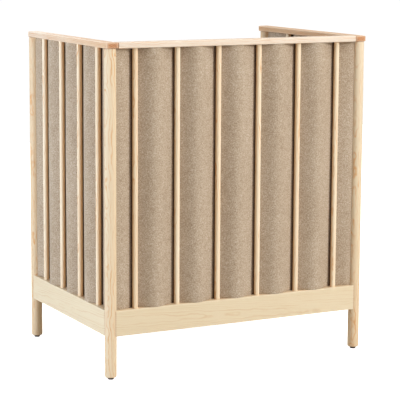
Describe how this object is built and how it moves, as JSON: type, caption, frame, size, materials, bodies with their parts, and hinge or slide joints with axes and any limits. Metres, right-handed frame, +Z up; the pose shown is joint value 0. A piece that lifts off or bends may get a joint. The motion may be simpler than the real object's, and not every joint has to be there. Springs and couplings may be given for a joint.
{
  "type": "playpen",
  "caption": "Tall three-sided wooden playpen on round legs, with felt walls woven between round bars, a raised padded floor and one open side.",
  "frame": {"origin": "on the floor under the middle of the pen", "axes": "+Z up, +X along the wide wall, which faces -Y; the +Y side is open"},
  "size_m": [0.885, 0.621, 1],
  "materials": {
    "leg_wood": "clear satin lacquer on pale ash",
    "top_rail_wood": "clear satin lacquer on pale ash",
    "lower_rail_wood": "clear satin lacquer on pale ash",
    "bar_wood": "clear satin lacquer on pale ash",
    "felt": "heathered taupe wool felt",
    "glide_plastic": "dark grey moulded plastic",
    "insert_steel": "zinc plated",
    "base_plywood": "clear satin lacquer on birch plywood",
    "mat_cotton": "plain woven cotton cover"
  },
  "bodies": {
    "frame": {"leg_front_left": "leg_wood", "leg_front_right": "leg_wood", "leg_back_left": "leg_wood", "leg_back_right": "leg_wood", "threaded_insert_front_left": "insert_steel", "threaded_insert_front_right": "insert_steel", "threaded_insert_back_left": "insert_steel", "threaded_insert_back_right": "insert_steel", "top_rail_front": "top_rail_wood", "top_rail_left": "top_rail_wood", "top_rail_right": "top_rail_wood", "rail_tongue_left": "leg_wood", "rail_tongue_right": "leg_wood", "lower_rail_front": "lower_rail_wood", "lower_rail_left": "lower_rail_wood", "lower_rail_right": "lower_rail_wood", "lower_rail_back": "lower_rail_wood", "bar_front_1": "bar_wood", "bar_front_2": "bar_wood", "bar_front_3": "bar_wood", "bar_front_4": "bar_wood", "bar_front_5": "bar_wood", "bar_front_6": "bar_wood", "bar_front_7": "bar_wood", "bar_front_8": "bar_wood", "bar_front_9": "bar_wood", "bar_front_10": "bar_wood", "bar_front_11": "bar_wood", "bar_left_1": "bar_wood", "bar_left_2": "bar_wood", "bar_left_3": "bar_wood", "bar_left_4": "bar_wood", "bar_left_5": "bar_wood", "bar_left_6": "bar_wood", "bar_left_7": "bar_wood", "bar_right_1": "bar_wood", "bar_right_2": "bar_wood", "bar_right_3": "bar_wood", "bar_right_4": "bar_wood", "bar_right_5": "bar_wood", "bar_right_6": "bar_wood", "bar_right_7": "bar_wood", "felt_wall_front": "felt", "felt_wall_left": "felt", "felt_wall_right": "felt", "base_cleat_front": "leg_wood", "base_cleat_left": "leg_wood", "base_cleat_right": "leg_wood", "base_cleat_back": "leg_wood", "base_board": "base_plywood"},
    "glide_front_left": {"glide_front_left": "glide_plastic"},
    "glide_front_right": {"glide_front_right": "glide_plastic"},
    "glide_back_left": {"glide_back_left": "glide_plastic"},
    "glide_back_right": {"glide_back_right": "glide_plastic"},
    "mat": {"floor_mat": "mat_cotton"}
  },
  "joints": [
    {"name": "level_front_left", "type": "slide", "parent": "frame", "child": "glide_front_left", "axis": [0, 0, -1], "range_m": [0, 0.008]},
    {"name": "level_front_right", "type": "slide", "parent": "frame", "child": "glide_front_right", "axis": [0, 0, -1], "range_m": [0, 0.008]},
    {"name": "level_back_left", "type": "slide", "parent": "frame", "child": "glide_back_left", "axis": [0, 0, -1], "range_m": [0, 0.008]},
    {"name": "level_back_right", "type": "slide", "parent": "frame", "child": "glide_back_right", "axis": [0, 0, -1], "range_m": [0, 0.008]},
    {"name": "mat_lift", "type": "slide", "parent": "frame", "child": "mat", "axis": [0, 0, 1], "range_m": [0, 0.85]}
  ]
}
